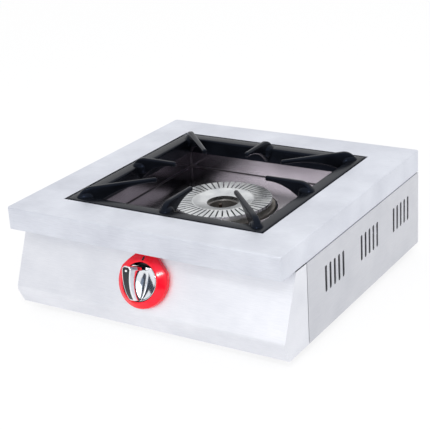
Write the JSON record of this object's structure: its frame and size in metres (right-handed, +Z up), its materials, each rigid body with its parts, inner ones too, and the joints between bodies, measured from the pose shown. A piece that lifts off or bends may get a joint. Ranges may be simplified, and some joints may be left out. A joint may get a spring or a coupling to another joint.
{
  "type": "single burner gas stove",
  "caption": "Counter-top gas stove: square stainless casing, vented sides, enamelled pan support with fingers, drip tray, slotted burner, and a push-and-turn knob in a red bezel",
  "frame": {"origin": "on the table under the middle of the stove, half way between the knob's front and the inlet's end", "axes": "+X to the right, +Y to the back, +Z up; the knob faces -Y"},
  "size_m": [0.4, 0.4435, 0.162],
  "materials": {
    "satin_stainless": "satin",
    "galvanised_sheet": "satin",
    "zinc_fasteners": "satin",
    "foot_rubber": "matte",
    "polished_stainless": "polished",
    "enamelled_iron": "gloss",
    "burner_nickel": "satin",
    "burner_casting": "matte",
    "brass": "satin",
    "spring_steel": "satin",
    "aluminium_pipe": "satin",
    "copper_lead": "satin",
    "red_bezel": "gloss",
    "black_gloss": "gloss",
    "chrome": "polished",
    "white_dot": "gloss"
  },
  "bodies": {
    "casing": {"top_frame": "satin_stainless", "front_panel": "satin_stainless", "left_side_panel": "satin_stainless", "right_side_panel": "satin_stainless", "rear_panel": "satin_stainless", "base_plate": "galvanised_sheet", "burner_bracket": "galvanised_sheet", "injector_bracket": "galvanised_sheet", "thermocouple_clip": "galvanised_sheet", "foot_screws": "zinc_fasteners", "foot_nuts": "zinc_fasteners", "base_screws": "zinc_fasteners", "rear_screws": "zinc_fasteners", "burner_screws": "zinc_fasteners", "rubber_feet": "foot_rubber", "burner_body": "burner_casting", "injector": "brass", "injector_holder": "brass", "gas_valve_body": "brass", "valve_nut": "brass", "gas_inlet": "brass", "inlet_lock_nut": "brass", "feed_nuts": "brass", "supply_nuts": "brass", "safety_magnet": "spring_steel", "thermocouple": "spring_steel", "feed_pipe": "aluminium_pipe", "supply_pipe": "aluminium_pipe", "thermocouple_lead": "copper_lead", "knob_bezel": "red_bezel", "bezel_mark": "black_gloss"},
    "tray": {"drip_tray": "polished_stainless"},
    "support": {"pan_support": "enamelled_iron"},
    "cap": {"burner_cap": "burner_nickel"},
    "plug": {"valve_rotor": "brass", "valve_spring": "spring_steel"},
    "knob": {"valve_spindle": "spring_steel", "knob_body": "chrome", "knob_inlay": "black_gloss", "knob_dot": "white_dot"},
    "shutter": {"air_shutter": "galvanised_sheet"}
  },
  "joints": [
    {"name": "tray_lift", "type": "slide", "parent": "casing", "child": "tray", "axis": [0, 0, 1], "range_m": [0, 0.12]},
    {"name": "pan_support_lift", "type": "slide", "parent": "tray", "child": "support", "axis": [0, 0, 1], "range_m": [0, 0.12]},
    {"name": "cap_lift", "type": "slide", "parent": "casing", "child": "cap", "axis": [0, 0, 1], "range_m": [0, 0.08]},
    {"name": "knob_turn", "type": "hinge", "parent": "casing", "child": "plug", "pos_m": [-0.0025, -0.1834, 0.0742], "axis": [0, -0.9208, 0.39], "range_deg": [0, 180]},
    {"name": "knob_push", "type": "slide", "parent": "plug", "child": "knob", "axis": [0, 0.9208, -0.39], "range_m": [0, 0.004], "stiffness_N_per_m": 1500, "springref_m": -0.002, "deforming": ["valve_spring"]},
    {"name": "air_shutter_turn", "type": "hinge", "parent": "casing", "child": "shutter", "pos_m": [-0.1209, 0.001, 0.084], "axis": [1, 0, 0], "range_deg": [0, 45]}
  ]
}
